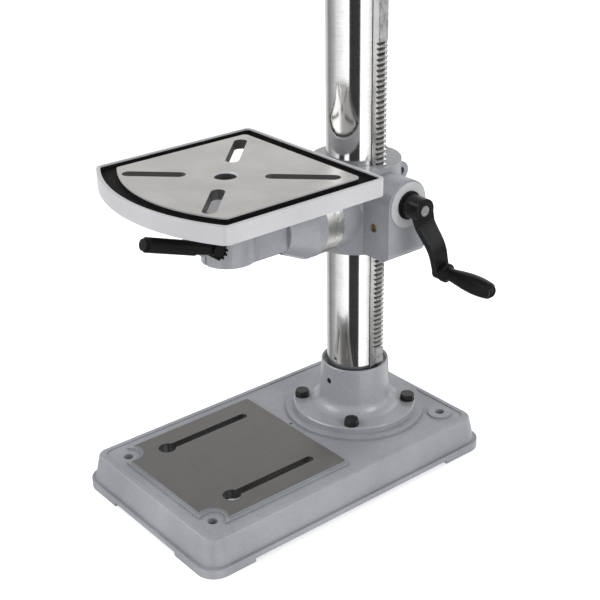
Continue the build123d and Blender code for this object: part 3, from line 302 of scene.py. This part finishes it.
def smooth_paint(name, low, high, rough=(0.24, 0.36)):
    """Sprayed enamel on sheet metal, with a faint orange peel."""
    g = Graph(name)
    peel = g.noise(420.0, 2.0, 0.5)
    cloud = g.noise(6.0, 3.0)
    return g.finish(g.blend(g.span(cloud, 0.35, 0.65), low, high),
                    g.span(cloud, 0.3, 0.7, rough[0], rough[1]), g.bump(peel, 0.14, 0.0002),
                    coat=0.3)


def all_finishes():
    paint = cast_paint("cast_paint")
    disc = cast_paint("cast_paint_light", (0.30, 0.305, 0.32, 1), (0.42, 0.425, 0.44, 1))
    bright = steel("machined_steel", (0.46, 0.46, 0.455, 1), (0.66, 0.66, 0.655, 1), (0.24, 0.38))
    polished = steel("polished_steel", (0.58, 0.58, 0.585, 1), (0.74, 0.74, 0.745, 1), (0.13, 0.2))
    zinc = steel("zinc_steel", (0.45, 0.45, 0.43, 1), (0.62, 0.62, 0.60, 1), (0.28, 0.42),
                 (200.0, 200.0, 200.0))
    chuck = steel("chuck_steel", (0.26, 0.26, 0.265, 1), (0.42, 0.42, 0.43, 1), (0.16, 0.28))
    jaws = steel("jaw_steel", (0.16, 0.16, 0.165, 1), (0.28, 0.28, 0.285, 1), (0.26, 0.4))
    alloy = steel("pulley_alloy", (0.50, 0.50, 0.51, 1), (0.68, 0.68, 0.69, 1), (0.28, 0.42))
    blued = steel("spring_steel", (0.10, 0.11, 0.15, 1), (0.17, 0.18, 0.23, 1), (0.25, 0.4))
    brass = steel("brass", (0.30, 0.20, 0.07, 1), (0.48, 0.34, 0.13, 1), (0.3, 0.45),
                  (150.0, 150.0, 150.0))
    oxide = dark("blackened_steel", grey(0.010), grey(0.030), (0.26, 0.42), 500.0, metal=0.5)
    enamel = dark("black_enamel", grey(0.005), grey(0.011), (0.2, 0.34), 260.0, coat=0.05,
                  gloss=0.15)
    plastic = dark("black_plastic", grey(0.005), grey(0.011), (0.3, 0.44), 700.0, 0.00012, gloss=0.10)
    rubber = dark("belt_rubber", grey(0.012), grey(0.028), (0.6, 0.75), 900.0, 0.0003)
    motor = dark("motor_enamel", grey(0.030), grey(0.052), (0.34, 0.48), 300.0, coat=0.1)
    red = dark("switch_red", (0.36, 0.012, 0.010, 1), (0.52, 0.025, 0.020, 1), (0.22, 0.32),
               500.0, 0.0001)
    cover = smooth_paint("cover_paint", (0.30, 0.305, 0.32, 1), (0.36, 0.365, 0.38, 1))
    return {
        "base": base_finish(), "table": table_finish(), "rack": rack_finish(),
        "tilt_scale": tilt_finish(), "worm_bush": disc, "column_foot": paint,
        "table_bracket": bracket_finish(), "table_arm": paint, "head_casting": paint, "rack_ring": paint,
        "column": steel("column_steel", (0.50, 0.50, 0.50, 1), (0.74, 0.74, 0.735, 1), (0.08, 0.13),
                        (60.0, 60.0, 1100.0), 0.00005),
        "quill": polished, "stop_rod": polished, "feed_rods": polished,
        "worm_shaft": steel("bright_shaft", (0.72, 0.72, 0.72, 1), (0.88, 0.88, 0.88, 1)),
        "quill_bearings": polished, "pulley_bearing": polished, "lift_gear": bright,
        "spindle": bright, "feed_shaft": bright, "motor_shaft": bright, "quill_collar": bright,
        "mount_bolts": zinc, "stop_nuts": zinc, "spring_nut": zinc, "hinge_pins": zinc,
        "tilt_pointer": zinc, "chuck_body": chuck, "chuck_sleeve": chuck, "chuck_jaw_1": jaws,
        "chuck_jaw_2": jaws, "chuck_jaw_3": jaws, "spindle_pulley": alloy, "motor_pulley": alloy,
        "return_spring": blued, "gear_pin": brass, "foot_bolts": oxide, "set_screws": oxide,
        "crank_set_screw": oxide, "tilt_bolt": oxide, "column_lock_screw": oxide,
        "table_lock_screw": oxide, "crank_grip_bolt": oxide, "crank_arm": enamel,
        "feed_hub": enamel, "crank_grip": plastic, "column_lock_lever": plastic,
        "table_lock_lever": plastic, "feed_knobs": plastic, "lid_knob": plastic,
        "switch_box": plastic, "cord_gland": plastic, "belt": rubber, "motor_body": motor,
        "motor_end_covers": motor, "switch_paddle": red, "cover_pan": cover, "cover_lid": cover,
        "spring_cap": cover, "motor_mount": cover,
    }


FINISHES = all_finishes()
for node_name, node_object in NODES.items():
    node_object.data.materials.clear()
    node_object.data.materials.append(FINISHES[node_name])


# ---------------------------------------------------------------- stage, lights and camera
def stage_material(name, colour, rough):
    g = Graph(name)
    tone = g.noise(3.0, 3.0)
    lighter = tuple(min(1.0, c * 1.02) for c in colour[:3]) + (1.0,)
    return g.finish(g.blend(tone, colour, lighter), rough, g.bump(tone, 0.02, 0.001))


def plane(name, corners, material):
    mesh = bpy.data.meshes.new(name)
    mesh.from_pydata(corners, [], [(0, 1, 2, 3)])
    mesh.materials.append(material)
    piece = bpy.data.objects.new(name, mesh)
    bpy.context.scene.collection.objects.link(piece)
    return piece


FLOOR_HALF = 40.0
FLOOR_GLOW = 0.30   # keeps the floor white where the lights fall off
white = stage_material("studio_white", (0.93, 0.93, 0.935, 1), 0.75)
glow = white.node_tree.nodes["Principled BSDF"]
glow.inputs["Emission Color"].default_value = (1.0, 1.0, 1.0, 1.0)
glow.inputs["Emission Strength"].default_value = FLOOR_GLOW
plane("floor", [(-FLOOR_HALF, -FLOOR_HALF, 0), (FLOOR_HALF, -FLOOR_HALF, 0),
                (FLOOR_HALF, FLOOR_HALF, 0), (-FLOOR_HALF, FLOOR_HALF, 0)], white).visible_glossy = False


def area_light(name, place, target, width, height, power, colour=(1, 1, 1)):
    lamp = bpy.data.lights.new(name, "AREA")
    lamp.shape = "RECTANGLE"
    lamp.size, lamp.size_y = width, height
    lamp.energy = power
    lamp.color = colour
    holder = bpy.data.objects.new(name, lamp)
    holder.location = place
    holder.rotation_euler = (Vector(target) - Vector(place)).to_track_quat("-Z", "Y").to_euler()
    bpy.context.scene.collection.objects.link(holder)


area_light("key", (-1.2, -1.9, 1.9), (0, 0, 0.2), 1.8, 1.8, 46)
area_light("fill", (2.4, 0.6, 1.6), (0, 0.1, 0.3), 1.2, 1.8, 38)
area_light("back", (-0.8, 2.4, 2.2), (0, 0, 0.3), 2.0, 1.2, 14)


def studio_world():
    """Studio dome, brighter at the horizon. Below it, upright bands for steel to pick up."""
    world = bpy.data.worlds.new("studio")
    world.use_nodes = True
    tree = world.node_tree
    place = tree.nodes.new("ShaderNodeTexCoord")
    split = tree.nodes.new("ShaderNodeSeparateXYZ")
    tree.links.new(place.outputs["Generated"], split.inputs["Vector"])
    angle = tree.nodes.new("ShaderNodeMath")
    angle.operation = "ARCTAN2"
    tree.links.new(split.outputs["Y"], angle.inputs[0])
    tree.links.new(split.outputs["X"], angle.inputs[1])
    turn = tree.nodes.new("ShaderNodeMapRange")
    turn.inputs["From Min"].default_value = -math.pi
    turn.inputs["From Max"].default_value = math.pi
    tree.links.new(angle.outputs["Value"], turn.inputs["Value"])
    bands = tree.nodes.new("ShaderNodeValToRGB")
    points = bands.color_ramp.elements
    while len(points) < len(STUDIO_BANDS):
        points.new(0.5)
    for point, (degrees, level) in zip(points, STUDIO_BANDS):
        point.position = (degrees + 180.0) / 360.0
        point.color = (level, level, level, 1.0)
    tree.links.new(turn.outputs["Result"], bands.inputs["Fac"])
    below = tree.nodes.new("ShaderNodeMapRange")
    below.inputs["From Min"].default_value = 0.06
    below.inputs["From Max"].default_value = -0.06
    tree.links.new(split.outputs["Z"], below.inputs["Value"])
    mix = tree.nodes.new("ShaderNodeMix")
    mix.data_type = "RGBA"
    tree.links.new(below.outputs["Result"], mix.inputs["Factor"])
    dome = tree.nodes.new("ShaderNodeMapRange")
    for socket, number in (("From Min", 0.25), ("From Max", 0.95),
                           ("To Min", SKY_LOW), ("To Max", SKY_HIGH)):
        dome.inputs[socket].default_value = number
    tree.links.new(split.outputs["Z"], dome.inputs["Value"])
    tree.links.new(dome.outputs["Result"], mix.inputs[6])
    tree.links.new(bands.outputs["Color"], mix.inputs[7])
    tree.links.new(mix.outputs[2], tree.nodes["Background"].inputs["Color"])
    tree.nodes["Background"].inputs["Strength"].default_value = 1.0
    bpy.context.scene.world = world


SKY_LOW, SKY_HIGH = 1.1, 0.36
# Compass angle in degrees from +X towards +Y, and brightness, round the studio.
STUDIO_BANDS = (
    (-180, 0.80), (-162, 0.30), (-135, 0.60), (-105, 1.3), (-68, 1.9), (-66, 0.05), (-27, 0.06),
    (-24, 2.2), (15, 1.3), (28, 0.25), (48, 0.2), (62, 1.2), (100, 1.3), (116, 0.12), (132, 0.16),
    (146, 1.1), (180, 0.80))
studio_world()
bpy.context.scene.view_settings.view_transform = "Standard"

EYE = (1.05421, -0.83341, 0.87483)
YAW, PITCH, ROLL = math.radians(50.9), math.radians(25.45), math.radians(-0.97)
forward = Vector((-math.sin(YAW) * math.cos(PITCH), math.cos(YAW) * math.cos(PITCH),
                  -math.sin(PITCH)))
level = Vector((math.cos(YAW), math.sin(YAW), 0.0))
upward = level.cross(forward)
right = math.cos(ROLL) * level + math.sin(ROLL) * upward
top = -math.sin(ROLL) * level + math.cos(ROLL) * upward
lens = bpy.data.cameras.new("camera")
lens.lens, lens.sensor_width = 73.03, 36.0
lens.clip_end = 200.0
camera = bpy.data.objects.new("camera", lens)
camera.matrix_world = Matrix((
    (right.x, top.x, -forward.x, EYE[0]), (right.y, top.y, -forward.y, EYE[1]),
    (right.z, top.z, -forward.z, EYE[2]), (0, 0, 0, 1)))
bpy.context.scene.collection.objects.link(camera)
bpy.context.scene.camera = camera
